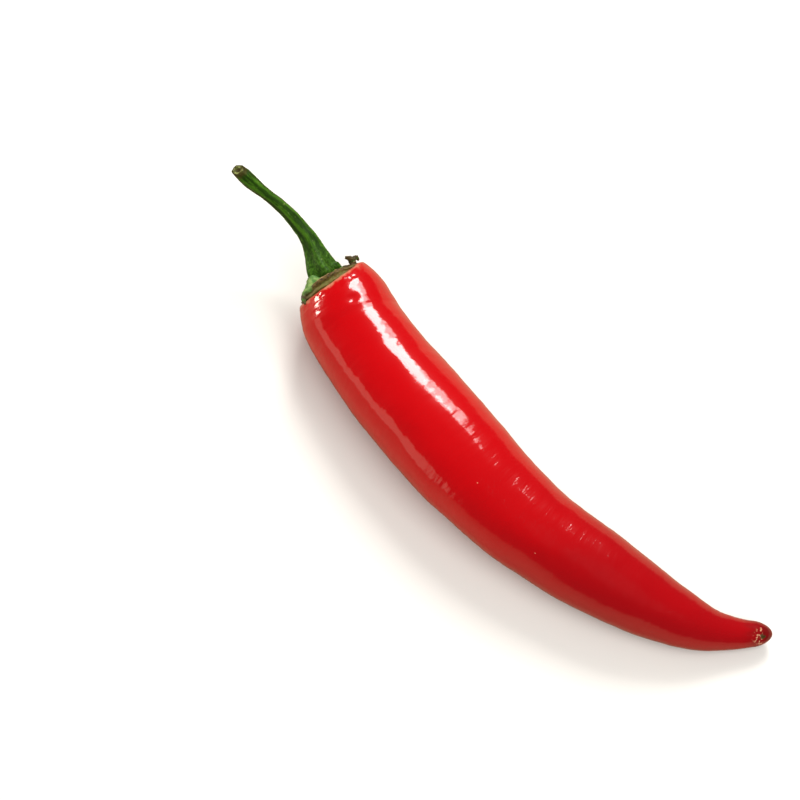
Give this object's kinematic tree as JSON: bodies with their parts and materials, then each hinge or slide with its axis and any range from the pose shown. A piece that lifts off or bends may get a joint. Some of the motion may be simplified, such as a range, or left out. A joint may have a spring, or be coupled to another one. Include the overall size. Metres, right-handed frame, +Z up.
{
  "type": "long red chilli pepper",
  "caption": "Long, gently bowed red chilli pepper with a blunt curled tip, a frilled calyx and a slim swaying green stem, lying on its side.",
  "frame": {"origin": "on the surface the pepper lies on, under the middle of its box", "axes": "+X along the pepper from its stem to its tip, +Z up, +Y to the hollow side of its bow"},
  "size_m": [0.1446, 0.032, 0.0258],
  "materials": {
    "pod_skin": "waxy glossy red pepper skin, darker towards the tip",
    "calyx": "dry green to brown sepals, matte with a faint bloom",
    "stem": "fresh green ribbed stalk, satin, with a browned cut end"
  },
  "bodies": {
    "root": {"pod": "pod_skin", "calyx": "calyx", "stem": "stem"}
  },
  "joints": []
}
